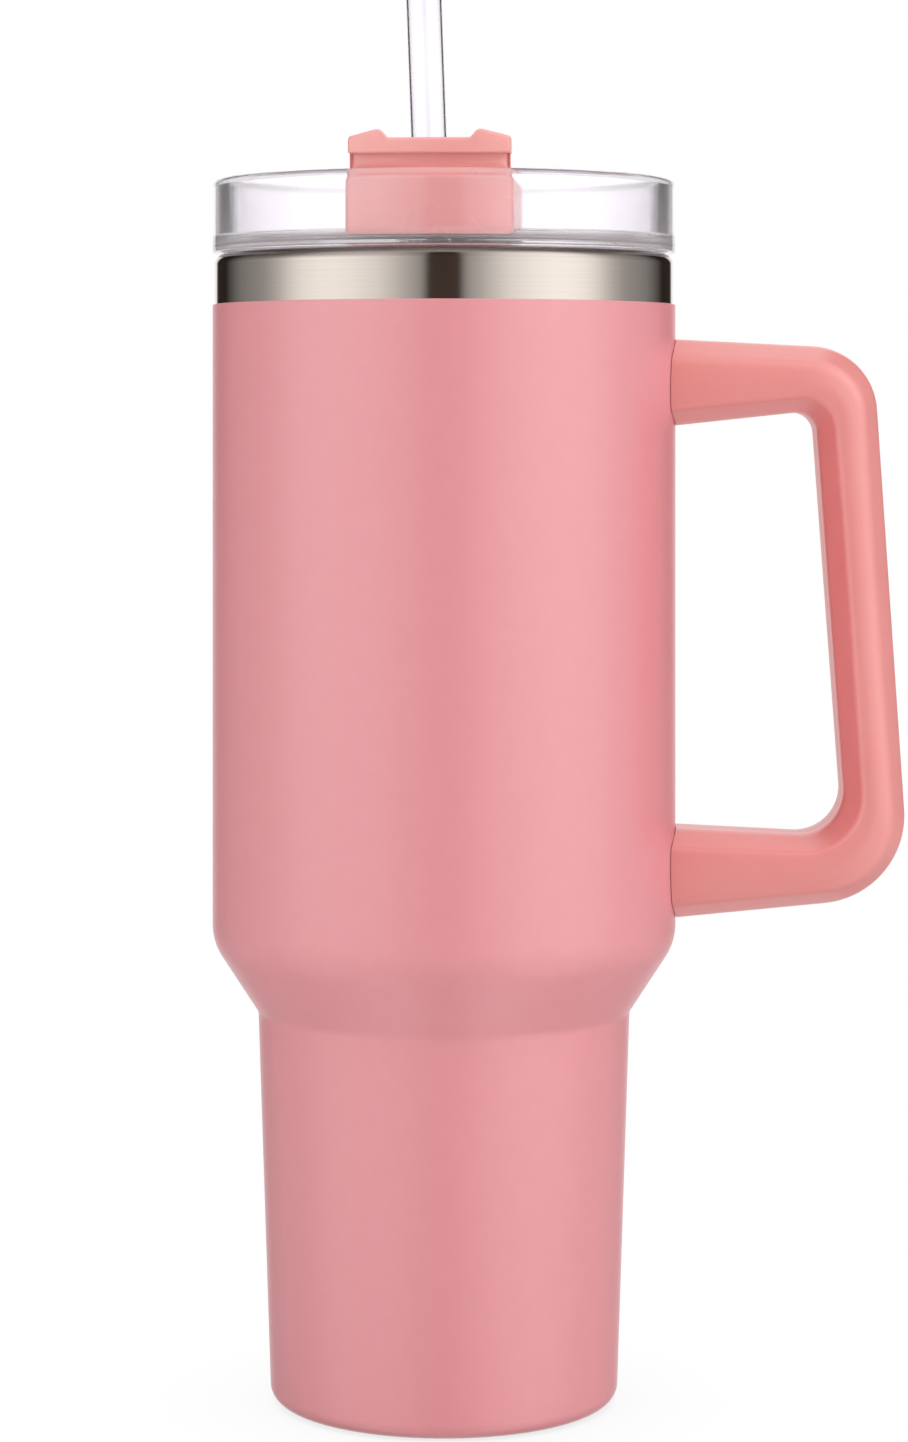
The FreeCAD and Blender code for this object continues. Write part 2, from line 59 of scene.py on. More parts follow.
# ------------------------------------------------------------------ sizes, in millimetres
BODY_R, NECK_R, FOOT_R = 50.0, 40.1, 37.35
CREASE_Z, SHOULDER_Z, PAINT_TOP_Z, LIP_Z = 83.9, 99.1, 236.1, 247.0
FOOT_FILLET, CREASE_FILLET, SHOULDER_FILLET = 3.6, 3.0, 12.0
FOOT_RING_R, COAT_T, SHELL_T, LINER_T = 30.5, 0.35, 0.6, 0.6
LINER_MOUTH_R, LINER_R, LINER_NECK_R, LINER_FOOT_R, LINER_FLOOR_Z = 46.6, 45.85, 35.95, 33.6, 11.0
LID_R, LID_TOP_Z, LID_WALL_T = 50.0, 262.9, 3.6
DECK_TOP_Z, DECK_T, FLANGE_Z = 248.4, 1.9, 247.15
SKIRT_R, SKIRT_IN_R, SKIRT_LOW_Z = 44.9, 42.4, 237.2
BOSS_R, BOSS_TOP_Z, HUB_R, HUB_BORE_R = 9.5, 256.0, 6.0, 6.05
SLOT_R, SLOT_W, SLOT_FROM, SLOT_TO = 29.0, 11.0, -2.0, 62.0
COVER_HALF_W, COVER_FRONT_R, COVER_LOW_Z, COVER_TOP_Z, COVER_WALL = 16.9, 44.6, 248.75, 262.0, 2.0
CAP_FRONT, CAP_BACK, CAP_LOW_Z, CAP_DIP_Z, CAP_EAR_Z, CAP_END_Z = 44.4, 36.4, 266.2, 269.4, 271.2, 269.7
STEM_FRONT, STEM_BACK, DECK_FILLET = 41.2, 38.2, 2.5
DISC_R, DISC_TOP_Z, DISC_T = 38.5, 246.4, 2.1
STRAW_R, STRAW_IN_R, STRAW_LOW_Z, STRAW_TOP_Z = 3.8, 3.35, 14.0, 312.0
STRAW_AT, STRAW_LEAN = (-0.7, -29.0, 261.0), (-0.0345, -0.0198)
HANDLE_HALF, HANDLE_GAP_R = 13.4, 50.14


# ------------------------------------------------------------------ profiles
def rounded(pts, closed, step=7.0, arc=None):
    """(r, z[, fillet]) points sampled to a polyline with true arcs at the filleted corners, the arcs cut at every
    step degrees or, with arc given, into that many pieces."""
    n = len(pts)
    out = []
    for i in range(n):
        b = Vector(pts[i][:2])
        rad = pts[i][2] if len(pts[i]) > 2 else 0.0
        if rad <= 0 or (not closed and i in (0, n - 1)):
            out.append(tuple(b))
            continue
        a, c = Vector(pts[i - 1][:2]), Vector(pts[(i + 1) % n][:2])
        d1, d2 = (a - b).normalized(), (c - b).normalized()
        half = math.acos(max(-1, min(1, d1.dot(d2)))) / 2
        t = rad / math.tan(half)
        centre = b + (d1 + d2).normalized() * (rad / math.sin(half))
        p, q = b + d1 * t - centre, b + d2 * t - centre
        a0, a1 = math.atan2(p.y, p.x), math.atan2(q.y, q.x)
        da = (a1 - a0 + math.pi) % (2 * math.pi) - math.pi
        steps = arc or max(3, int(math.ceil(abs(math.degrees(da)) / step)))
        for k in range(steps + 1):
            ang = a0 + da * k / steps
            out.append((centre.x + rad * math.cos(ang), centre.y + rad * math.sin(ang)))
    return out


def offset_path(pts, d):
    """The open path moved d to its left, corner radii kept tangent."""
    out, n = [], len(pts)

    def normal(a, b):
        dx, dz = b[0] - a[0], b[1] - a[1]
        s = math.hypot(dx, dz)
        return -dz / s, dx / s

    for i in range(n):
        r = pts[i][2] if len(pts[i]) > 2 else 0.0
        if i in (0, n - 1):
            nx, nz = normal(pts[0], pts[1]) if i == 0 else normal(pts[-2], pts[-1])
            out.append((pts[i][0] + nx * d, pts[i][1] + nz * d, 0.0))
            continue
        n1, n2 = normal(pts[i - 1], pts[i]), normal(pts[i], pts[i + 1])
        k = 1 + n1[0] * n2[0] + n1[1] * n2[1]
        t1 = (pts[i][0] - pts[i - 1][0], pts[i][1] - pts[i - 1][1])
        t2 = (pts[i + 1][0] - pts[i][0], pts[i + 1][1] - pts[i][1])
        left = t1[0] * t2[1] - t1[1] * t2[0] > 0
        out.append(
            (pts[i][0] + d * (n1[0] + n2[0]) / k, pts[i][1] + d * (n1[1] + n2[1]) / k,
             max(0.0, r - d if left else r + d) if r else 0.0)
        )
    return out


def subdivide(poly, longest, closed):
    """The polyline with no segment longer than the given length."""
    out, n = [], len(poly)
    for i in range(n if closed else n - 1):
        a, b = Vector(poly[i]), Vector(poly[(i + 1) % n])
        k = max(1, int(math.ceil((b - a).length / longest)))
        for j in range(k):
            out.append(tuple(a.lerp(b, j / k)))
    if not closed:
        out.append(tuple(poly[-1]))
    return out


# ------------------------------------------------------------------ mesh helpers
def new_object(name, bm, smooth_deg=35.0):
    bmesh.ops.remove_doubles(bm, verts=bm.verts, dist=1e-7)
    bmesh.ops.recalc_face_normals(bm, faces=bm.faces)
    me = bpy.data.meshes.new(name)
    bm.to_mesh(me)
    bm.free()
    ob = bpy.data.objects.new(name, me)
    bpy.context.scene.collection.objects.link(ob)
    soften(ob, smooth_deg)
    return ob


def soften(ob, deg=35.0):
    """Smooth shading, with edges steeper than deg kept sharp."""
    me = ob.data
    for p in me.polygons:
        p.use_smooth = True
    bm = bmesh.new()
    bm.from_mesh(me)
    lim = math.radians(deg)
    for e in bm.edges:
        e.smooth = not (len(e.link_faces) == 2 and e.calc_face_angle(0.0) > lim)
    bm.to_mesh(me)
    bm.free()


def lathe(name, poly, segs=192, turned=False, smooth_deg=30.0):
    """A closed profile in (r, z) millimetres turned about Z. Points on the axis become poles."""
    bm = bmesh.new()
    rings = []
    for r, z in poly:
        if r < 1e-6:
            rings.append([bm.verts.new((0, 0, z * MM))])
            continue
        ring = []
        for k in range(segs):
            a = 2 * math.pi * k / segs
            ring.append(bm.verts.new((r * MM * math.cos(a), r * MM * math.sin(a), z * MM)))
        rings.append(ring)
    n = len(rings)
    for i in range(n):
        a, b = rings[i], rings[(i + 1) % n]
        if len(a) == 1 and len(b) == 1:
            continue
        for k in range(segs):
            m = (k + 1) % segs
            if len(a) == 1:
                bm.faces.new((a[0], b[m], b[k]))
            elif len(b) == 1:
                bm.faces.new((a[k], a[m], b[0]))
            else:
                bm.faces.new((a[k], a[m], b[m], b[k]))
    ob = new_object(name, bm, smooth_deg)
    if turned:
        ob.data.transform(Matrix.Rotation(TURN, 4, "Z"))
    return ob


def supported(poly, closed, d=0.08):
    """Extra points close to the ends of each long straight, so that flats shade flat next to their rounded corners."""
    out, n = [], len(poly)
    for i in range(n if closed else n - 1):
        a, b = Vector(poly[i]), Vector(poly[(i + 1) % n])
        out.append(tuple(a))
        span = (b - a).length
        if span > 6 * d:
            out += [tuple(a.lerp(b, d / span)), tuple(a.lerp(b, 1 - d / span))]
    if not closed:
        out.append(tuple(poly[-1]))
    return out


def band_poly(path, d1, d2, longest=3.0):
    one = rounded(offset_path(path, d1), False)
    two = rounded(offset_path(path, d2), False)
    return subdivide(one + two[::-1], longest, True)


def boolean(ob, cutter, op="DIFFERENCE", drop=True):
    mod = ob.modifiers.new("cut", "BOOLEAN")
    mod.operation = op
    mod.solver = "EXACT"
    mod.object = cutter
    dg = bpy.context.evaluated_depsgraph_get()
    me = bpy.data.meshes.new_from_object(ob.evaluated_get(dg))
    ob.modifiers.clear()
    old = ob.data
    ob.data = me
    bpy.data.meshes.remove(old)
    if drop:
        bpy.data.objects.remove(cutter)
    return ob


def bake_modifiers(ob):
    dg = bpy.context.evaluated_depsgraph_get()
    me = bpy.data.meshes.new_from_object(ob.evaluated_get(dg))
    ob.modifiers.clear()
    ob.data = me
    return ob


def polar(r, a):
    a = math.radians(a)
    return r * math.sin(a), -r * math.cos(a)


def prism(name, loop, z0, z1, grow=0.0):
    """A straight prism over a closed XY loop, all in millimetres."""
    bm = bmesh.new()
    lo = [bm.verts.new((x * MM, y * MM, z0 * MM)) for x, y in loop]
    hi = [bm.verts.new((x * MM, y * MM, z1 * MM)) for x, y in loop]
    n = len(loop)
    for k in range(n):
        m = (k + 1) % n
        bm.faces.new((lo[k], lo[m], hi[m], hi[k]))
    bm.faces.new(lo[::-1])
    bm.faces.new(hi)
    return new_object(name, bm)


def arc_slot_loop(r, w, a0, a1, n=24):
    h, out = w / 2, []
    for k in range(n + 1):
        out.append(polar(r + h, a0 + (a1 - a0) * k / n))
    cx, cy = polar(r, a1)
    for k in range(1, 12):
        ang = math.radians(a1 + 180 * k / 12)
        out.append((cx + h * math.sin(ang), cy - h * math.cos(ang)))
    for k in range(n + 1):
        out.append(polar(r - h, a1 + (a0 - a1) * k / n))
    cx, cy = polar(r, a0)
    for k in range(1, 12):
        ang = math.radians(a0 + 180 + 180 * k / 12)
        out.append((cx + h * math.sin(ang), cy - h * math.cos(ang)))
    return out


def circle_loop(r, x=0.0, y=0.0, n=64):
    return [(x + r * math.cos(2 * math.pi * k / n), y + r * math.sin(2 * math.pi * k / n)) for k in range(n)]


# ------------------------------------------------------------------ materials
def node(nt, kind, **kw):
    n = nt.nodes.new(kind)
    for k, v in kw.items():
        setattr(n, k, v)
    return n


def base_material(name):
    m = bpy.data.materials.new(name)
    m.use_nodes = True
    nt = m.node_tree
    bsdf = nt.nodes["Principled BSDF"]
    tex = node(nt, "ShaderNodeTexCoord")
    return m, nt, bsdf, tex


def s2l(c):
    """sRGB 0-255 to linear RGBA."""
    out = []
    for v in c:
        v = v / 255.0
        out.append(v / 12.92 if v <= 0.04045 else ((v + 0.055) / 1.055) ** 2.4)
    return (*out, 1.0)


def ramp(nt, stops, interp="LINEAR"):
    r = node(nt, "ShaderNodeValToRGB")
    r.color_ramp.interpolation = interp
    e = r.color_ramp.elements
    while len(e) < len(stops):
        e.new(0.5)
    for k, (p, c) in enumerate(stops):
        e[k].position = p
        e[k].color = c if len(c) == 4 else (*c, 1.0)
    return r


def noise(nt, vec, scale, detail=2.0, rough=0.5):
    n = node(nt, "ShaderNodeTexNoise")
    n.inputs["Scale"].default_value = scale
    n.inputs["Detail"].default_value = detail
    n.inputs["Roughness"].default_value = rough
    nt.links.new(vec, n.inputs["Vector"])
    return n


def mapped(nt, tex, scale):
    mp = node(nt, "ShaderNodeMapping")
    mp.inputs["Scale"].default_value = scale
    nt.links.new(tex.outputs["Object"], mp.inputs["Vector"])
    return mp.outputs["Vector"]


def set_range(nt, value, lo, hi):
    mr = node(nt, "ShaderNodeMapRange")
    mr.inputs["To Min"].default_value = lo
    mr.inputs["To Max"].default_value = hi
    nt.links.new(value, mr.inputs["Value"])
    return mr.outputs["Result"]


def bump(nt, bsdf, height, strength, distance):
    b = node(nt, "ShaderNodeBump")
    b.inputs["Strength"].default_value = strength
    b.inputs["Distance"].default_value = distance
    nt.links.new(height, b.inputs["Height"])
    nt.links.new(b.outputs["Normal"], bsdf.inputs["Normal"])
    return b


def mottled(nt, bsdf, vec, scale, dark, light):
    n = noise(nt, vec, scale, 4.0, 0.55)
    r = ramp(nt, [(0.3, dark), (0.7, light)])
    nt.links.new(n.outputs["Fac"], r.inputs["Fac"])
    nt.links.new(r.outputs["Color"], bsdf.inputs["Base Color"])
    return n


def powder_coat_material():
    m, nt, bsdf, tex = base_material("powder_coat_pink")
    vec = tex.outputs["Object"]
    mottled(nt, bsdf, vec, 240.0, s2l((231, 147, 153)), s2l((233, 149, 155)))
    grain = noise(nt, vec, 1500.0, 3.0, 0.6)
    fine = noise(nt, vec, 260.0, 2.0, 0.5)
    mix = node(nt, "ShaderNodeMath", operation="ADD")
    nt.links.new(grain.outputs["Fac"], mix.inputs[0])
    nt.links.new(fine.outputs["Fac"], mix.inputs[1])
    bump(nt, bsdf, mix.outputs[0], 0.05, 0.00012)
    cloud = noise(nt, vec, 22.0, 2.0, 0.5)
    nt.links.new(set_range(nt, cloud.outputs["Fac"], 0.28, 0.33), bsdf.inputs["Roughness"])
    bsdf.inputs["Specular IOR Level"].default_value = 1.0
    # the film's fine texture catches a little light edge-on
    bsdf.inputs["Sheen Weight"].default_value = 0.10
    bsdf.inputs["Sheen Roughness"].default_value = 0.35
    bsdf.inputs["Sheen Tint"].default_value = (1.0, 0.72, 0.76, 1.0)
    return m


def turned_steel_material(name="turned_steel", dark=(181, 172, 164), light=(187, 178, 170), rough=(0.07, 0.11), lip=True):
    m, nt, bsdf, tex = base_material(name)
    vec = mapped(nt, tex, (9.0, 9.0, 4200.0))
    n = noise(nt, vec, 1.0, 4.0, 0.65)
    r = ramp(nt, [(0.25, s2l(dark)), (0.75, s2l(light))])
    nt.links.new(n.outputs["Fac"], r.inputs["Fac"])
    colour = r.outputs["Color"]
    if lip:
        # painted shade: the rolled lip, in the shadow of the lid's flange, is darkened towards its top and fades out
        # below
        sep = node(nt, "ShaderNodeSeparateXYZ")
        nt.links.new(tex.outputs["Object"], sep.inputs[0])
        mr = node(nt, "ShaderNodeMapRange")
        mr.inputs["From Min"].default_value = 0.2446
        mr.inputs["From Max"].default_value = 0.2466
        nt.links.new(sep.outputs["Z"], mr.inputs["Value"])
        mx = node(nt, "ShaderNodeMix", data_type="RGBA")
        nt.links.new(mr.outputs["Result"], mx.inputs["Factor"])
        nt.links.new(colour, mx.inputs["A"])
        mx.inputs["B"].default_value = s2l((96, 84, 80))
        colour = mx.outputs["Result"]
    nt.links.new(colour, bsdf.inputs["Base Color"])
    bsdf.inputs["Metallic"].default_value = 1.0
    nt.links.new(set_range(nt, n.outputs["Fac"], *rough), bsdf.inputs["Roughness"])
    bump(nt, bsdf, n.outputs["Fac"], 0.03, 0.00002)
    return m


def brushed_steel_material(name="brushed_steel", dark=(140, 138, 136), light=(190, 187, 184)):
    m, nt, bsdf, tex = base_material(name)
    vec = mapped(nt, tex, (2600.0, 120.0, 120.0))
    n = noise(nt, vec, 1.0, 3.0, 0.6)
    r = ramp(nt, [(0.25, s2l(dark)), (0.75, s2l(light))])
    nt.links.new(n.outputs["Fac"], r.inputs["Fac"])
    nt.links.new(r.outputs["Color"], bsdf.inputs["Base Color"])
    bsdf.inputs["Metallic"].default_value = 1.0
    nt.links.new(set_range(nt, n.outputs["Fac"], 0.24, 0.42), bsdf.inputs["Roughness"])
    bump(nt, bsdf, n.outputs["Fac"], 0.1, 0.00004)
    return m


def moulded_material(name, dark, light, rough=(0.36, 0.46), grain=900.0, strength=0.10, spec=0.5, sss=0.0):
    m, nt, bsdf, tex = base_material(name)
    vec = tex.outputs["Object"]
    mottled(nt, bsdf, vec, 60.0, s2l(dark), s2l(light))
    n = noise(nt, vec, grain, 3.0, 0.6)
    bump(nt, bsdf, n.outputs["Fac"], strength, 0.00008)
    cloud = noise(nt, vec, 35.0, 2.0, 0.5)
    nt.links.new(set_range(nt, cloud.outputs["Fac"], *rough), bsdf.inputs["Roughness"])
    bsdf.inputs["Specular IOR Level"].default_value = spec
    if sss:
        bsdf.inputs["Subsurface Weight"].default_value = sss
        bsdf.inputs["Subsurface Scale"].default_value = 0.003
        bsdf.inputs["Subsurface Radius"].default_value = (1.0, 0.45, 0.35)
    return m


def clear_material(name, tint=(252, 252, 253), rough=(0.015, 0.05), ior=1.49, grain=420.0, strength=0.03,
                   spec=0.5, through=0.0, ripple=0.0, haze=None):
    """Moulded clear plastic. ripple: faint upright flow waves in the surface. through: share of plain see-through.
    haze: (z with none, z with all, amount) of milky scatter low down in the piece."""
    m, nt, bsdf, tex = base_material(name)
    vec = tex.outputs["Object"]
    n = noise(nt, vec, grain, 3.0, 0.55)
    broad = noise(nt, vec, 45.0, 2.0, 0.5)
    r = ramp(nt, [(0.3, s2l(tuple(max(0, c - 5) for c in tint))), (0.7, s2l(tint))])
    nt.links.new(broad.outputs["Fac"], r.inputs["Fac"])
    nt.links.new(r.outputs["Color"], bsdf.inputs["Base Color"])
    bsdf.inputs["Transmission Weight"].default_value = 1.0
    bsdf.inputs["IOR"].default_value = ior
    bsdf.inputs["Specular IOR Level"].default_value = spec
    nt.links.new(set_range(nt, n.outputs["Fac"], *rough), bsdf.inputs["Roughness"])
    if ripple:
        waves = noise(nt, mapped(nt, tex, (330.0, 330.0, 60.0)), 1.0, 2.0, 0.5)
        bump(nt, bsdf, waves.outputs["Fac"], ripple, 0.001)
    else:
        bump(nt, bsdf, broad.outputs["Fac"], strength, 0.0001)
    # lamp and bounce light passes straight through, so what stands behind the plastic is lit
    lp = node(nt, "ShaderNodeLightPath")
    either = node(nt, "ShaderNodeMath", operation="MAXIMUM")
    nt.links.new(lp.outputs["Is Shadow Ray"], either.inputs[0])
    nt.links.new(lp.outputs["Is Diffuse Ray"], either.inputs[1])
    share = node(nt, "ShaderNodeMath", operation="MAXIMUM")
    share.inputs[1].default_value = through
    nt.links.new(either.outputs[0], share.inputs[0])
    clear = node(nt, "ShaderNodeBsdfTransparent")
    clear.inputs["Color"].default_value = (0.98, 0.975, 0.98, 1)
    mix = node(nt, "ShaderNodeMixShader")
    nt.links.new(share.outputs[0], mix.inputs["Fac"])
    body = bsdf.outputs[0]
    if haze:
        sep = node(nt, "ShaderNodeSeparateXYZ")
        nt.links.new(vec, sep.inputs[0])
        much = node(nt, "ShaderNodeMapRange")
        for key, v in (("From Min", haze[1]), ("From Max", haze[0]), ("To Min", haze[2]), ("To Max", 0.0)):
            much.inputs[key].default_value = v
        nt.links.new(sep.outputs["Z"], much.inputs["Value"])
        milk = node(nt, "ShaderNodeBsdfTranslucent")
        milk.inputs["Color"].default_value = (0.95, 0.93, 0.95, 1)
        white = node(nt, "ShaderNodeBsdfDiffuse")
        white.inputs["Color"].default_value = (0.95, 0.93, 0.95, 1)
        scatter = node(nt, "ShaderNodeMixShader")
        scatter.inputs["Fac"].default_value = 0.5
        nt.links.new(white.outputs[0], scatter.inputs[1])
        nt.links.new(milk.outputs[0], scatter.inputs[2])
        soft = node(nt, "ShaderNodeMixShader")
        nt.links.new(much.outputs["Result"], soft.inputs["Fac"])
        nt.links.new(body, soft.inputs[1])
        nt.links.new(scatter.outputs[0], soft.inputs[2])
        body = soft.outputs[0]
    nt.links.new(body, mix.inputs[1])
    nt.links.new(clear.outputs[0], mix.inputs[2])
    nt.links.new(mix.outputs[0], nt.nodes["Material Output"].inputs["Surface"])
    return m


MAT = {
    "coat": powder_coat_material(),
    "steel": turned_steel_material(),
    "liner": turned_steel_material("liner_steel", (205, 200, 195), (229, 225, 221), (0.24, 0.36), False),
    "sheet": brushed_steel_material(),
    "screw": brushed_steel_material("screw_steel", (110, 110, 112), (165, 165, 168)),
    "foil": brushed_steel_material("copper_foil", (176, 96, 58), (222, 140, 96)),
    "bead": moulded_material("fused_bead", (38, 34, 32), (70, 62, 58), (0.25, 0.4), 500.0, 0.3),
    "getter": moulded_material("sintered_pill", (70, 70, 72), (105, 105, 108), (0.6, 0.8), 1500.0, 0.5),
    "handle": moulded_material("handle_coral_pink", (237, 145, 141), (239, 149, 145), (0.29, 0.35), 1100.0, 0.05, 0.9, 0.1),
    "cover": moulded_material("cover_pink", (243, 164, 159), (246, 168, 163), (0.24, 0.31), 800.0, 0.05, 0.9, 0.15),
    "lid": clear_material("lid_clear", (254, 251, 255), (0.06, 0.09), 1.52, 420.0, 0.01, 1.0, 0.0, 0.010,
                          (0.2512, 0.2488, 0.13)),
    "straw": clear_material("straw_clear", (254, 251, 255), (0.0, 0.02), 1.45, 600.0, 0.01, 0.5),
    "disc": clear_material("disc_frosted", (252, 236, 236), (0.30, 0.42), 1.47, 900.0, 0.08),
    "seal": moulded_material("seal_silicone", (206, 200, 200), (224, 220, 220), (0.4, 0.5), 900.0, 0.1),
    "grommet": moulded_material("grommet_silicone", (226, 146, 141), (234, 156, 151), (0.42, 0.54), 900.0, 0.1),
}


def dress(ob, mat, slot, body=None, *nodes):
    ob.data.materials.clear()
    ob.data.materials.append(MAT[mat])
    if body:
        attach(ob, body)
    if nodes:
        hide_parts(*nodes)
    return ob


# ------------------------------------------------------------------ vessel
skin = [
    (FOOT_RING_R, 0.0),
    (FOOT_R, 0.0, FOOT_FILLET),
    (NECK_R, CREASE_Z, CREASE_FILLET),
    (BODY_R, SHOULDER_Z, SHOULDER_FILLET),
    (BODY_R, LIP_Z + COAT_T, 2.75),
    (LINER_MOUTH_R + LINER_T, LIP_Z + COAT_T),
]
# coat: outer skin up to a softly rounded paint edge, then back down on the steel
outer = rounded(skin[:4] + [(BODY_R, PAINT_TOP_Z, 0.16), (BODY_R - COAT_T, PAINT_TOP_Z)], False, 5.0)
inner = rounded(offset_path(skin[:4] + [(BODY_R, PAINT_TOP_Z)], COAT_T), False, 5.0)
coat = lathe("body_powder_coat", subdivide(outer + inner[::-1][1:], 4.0, True), 256)
dress(coat, "coat", "pink_coat", "vessel", "powder_coat")

steel = lathe("body_steel_shell", band_poly(skin, COAT_T + 0.002, COAT_T + SHELL_T, 6.0), 256)
dress(steel, "steel", "bare_steel", "vessel", "outer_shell")

drink_side = [
    (0.0, LINER_FLOOR_Z),
    (LINER_FOOT_R, LINER_FLOOR_Z, 8.0),
    (LINER_NECK_R, 85.0, 5.0),
    (LINER_R, 100.2, 10.0),
    (LINER_R, 232.0, 1.5),
    (LINER_MOUTH_R, 234.5, 1.5),
    (LINER_MOUTH_R, LIP_Z, 0.25),
    (LINER_MOUTH_R + LINER_T, LIP_Z),
]
liner_in = rounded(drink_side, False, 6.0)
liner_out = rounded(offset_path(drink_side[:7], -LINER_T), False, 6.0)
liner = lathe("inner_cup", subdivide(liner_in[:-1] + liner_out[::-1], 6.0, False), 192)
dress(liner, "liner", "bare_steel", "vessel", "inner_liner")

edge = FOOT_RING_R - 0.02
base_poly = rounded(
    [(2.5, 4.2), (2.5, 4.8), (edge - 2.3, 4.8, 1.6), (edge, COAT_T + SHELL_T), (edge, COAT_T),
     (edge - 0.9, COAT_T, 0.3), (edge - 2.5, 4.2, 1.0)], True)
base = lathe("base_pan", subdivide(base_poly, 5.0, True), 128)
dress(base, "liner", "bare_steel", "vessel", "outer_base")

# ------------------------------------------------------------------ handle
OUT = [(44.0, 228.95), (92.4, 226.5, 14.5), (100.35, 109.0, 19.0), (44.0, 103.6)]
INN = [(44.0, 209.45), (79.8, 213.3, 4.5), (86.6, 121.6, 9.5), (44.0, 123.75)]


def five_parts(path, counts):
    """The path's three straights and two arcs, each sampled with a set number of steps."""
    pts, tang = [], []
    for i in (1, 2):
        b, rad = Vector(path[i][:2]), path[i][2]
        a, c = Vector(path[i - 1][:2]), Vector(path[i + 1][:2])
        d1, d2 = (a - b).normalized(), (c - b).normalized()
        half = math.acos(d1.dot(d2)) / 2
        t = rad / math.tan(half)
        tang.append((b + d1 * t, b + d2 * t, b + (d1 + d2).normalized() * (rad / math.sin(half)), rad))
    runs = [
        ("line", Vector(path[0][:2]), tang[0][0]),
        ("arc", *tang[0]),
        ("line", tang[0][1], tang[1][0]),
        ("arc", *tang[1]),
        ("line", tang[1][1], Vector(path[3][:2])),
    ]
    for run, n in zip(runs, counts):
        for k in range(n):
            t = k / n
            if run[0] == "line":
                pts.append(run[1].lerp(run[2], t))
            else:
                p, q = run[1] - run[3], run[2] - run[3]
                a0, a1 = math.atan2(p.y, p.x), math.atan2(q.y, q.x)
                da = (a1 - a0 + math.pi) % (2 * math.pi) - math.pi
                ang = a0 + da * t
                pts.append(run[3] + Vector((math.cos(ang), math.sin(ang))) * run[4])
    pts.append(Vector(path[3][:2]))
    return pts


COUNTS = (22, 22, 46, 26, 22)
outs, inns = five_parts(OUT, COUNTS), five_parts(INN, COUNTS)


def half_section(w, hy):
    """Half of the handle's section, from the outer parting edge round the front to the inner one.
    (a, y): a runs from the inner edge (-w/2) to the outer edge (w/2). A broad slope on the outside, a steeper one
    inside, soft ridges between them and the front face."""
    hw = w / 2
    pts = [
        (hw, 0.0), (hw, -(hy - 8.2), 6.0), (hw - 3.9, -hy + 0.9, 4.4), (-0.6, -hy, 8.0),
        (-hw + 3.5, -hy + 0.25, 2.0), (-hw, -(hy - 7.4), 6.5), (-hw, 0.0),
    ]
    poly = rounded(pts, False, arc=7)
    # chamfer at the parting line
    poly[0] = (hw - 0.14, -0.03)
    poly[-1] = (-hw + 0.14, -0.03)
    poly.insert(1, (hw, -0.17))
    poly.insert(len(poly) - 1, (-hw, -0.17))
    return poly


def handle_half(name, side):
    bm = bmesh.new()
    rings = []
    n = len(outs)
    for k in range(n):
        o, i = outs[k], inns[k]
        mid, u = (o + i) / 2, (o - i)
        w = u.length
        u.normalize()
        x = max(0.0, min(1.0, (mid.x - 51.0) / 30.0))
        hy = HANDLE_HALF
        ring = []
        for a, y in half_section(w, hy):
            p = mid + u * a
            ring.append([p.x, y * -side, p.y])
        rings.append(ring)
    # the ends follow the body's curve, a hair clear of it
    for idx, nxt in ((0, 1), (-1, -2)):
        pass
    keep = []
    for ring in rings:
        if min(p[0] for p in ring) > 51.2:
            keep.append(ring)
    first = [list(p) for p in rings[0]]
    last = [list(p) for p in rings[-1]]

    def landed(end, ref):
        out = []
        for p, q in zip(end, ref):
            x = math.sqrt(max(1.0, HANDLE_GAP_R ** 2 - p[1] ** 2))
            t = (x - p[0]) / (q[0] - p[0])
            out.append([x, p[1], p[2] + (q[2] - p[2]) * t])
        return out

    rings = [landed(first, keep[0])] + keep + [landed(last, keep[-1])]
    vr = [[bm.verts.new((x * MM, y * MM, z * MM)) for x, y, z in ring] for ring in rings]
    m = len(vr[0])
    for k in range(len(vr) - 1):
        for j in range(m):
            jj = (j + 1) % m
            bm.faces.new((vr[k][j], vr[k][jj], vr[k + 1][jj], vr[k + 1][j]))
    # closed ends: rings shrinking to the middle, kept on the body's curve
    for end in (vr[0], vr[-1]):
        prev = end
        cy = sum(v.co.y for v in end) / m
        cz = sum(v.co.z for v in end) / m
        for s in (0.75, 0.45):
            ring = []
            for v in end:
                y, z = cy + (v.co.y - cy) * s, cz + (v.co.z - cz) * s
                x = math.sqrt((HANDLE_GAP_R * MM) ** 2 - y * y)
                ring.append(bm.verts.new((x, y, z)))
            for j in range(m):
                jj = (j + 1) % m
                bm.faces.new((prev[j], prev[jj], ring[jj], ring[j]))
            prev = ring
        c = bm.verts.new((math.sqrt((HANDLE_GAP_R * MM) ** 2 - cy * cy), cy, cz))
        for j in range(m):
            bm.faces.new((prev[j], prev[(j + 1) % m], c))
    return new_object(name, bm, 32.0)


SCREWS = [(61.0, 219.6), (85.6, 212.6), (89.2, 119.6), (61.0, 113.9)]
front = handle_half("handle_front", -1)
rear = handle_half("handle_rear", 1)
for x, z in SCREWS:
    bm = bmesh.new()
    bmesh.ops.create_cone(bm, cap_ends=True, segments=48, radius1=3.0 * MM, radius2=3.0 * MM, depth=8 * MM)
    bmesh.ops.rotate(bm, verts=bm.verts, matrix=Matrix.Rotation(math.pi / 2, 3, "X"))
    bmesh.ops.translate(bm, verts=bm.verts, vec=(x * MM, (HANDLE_HALF - 2.4 + 4.0) * MM, z * MM))
    boolean(rear, new_object("cutter", bm))
soften(rear, 32.0)
dress(front, "handle", "handle_pink", "vessel", "handle_front_shell")
dress(rear, "handle", "handle_pink", "vessel", "handle_rear_shell")

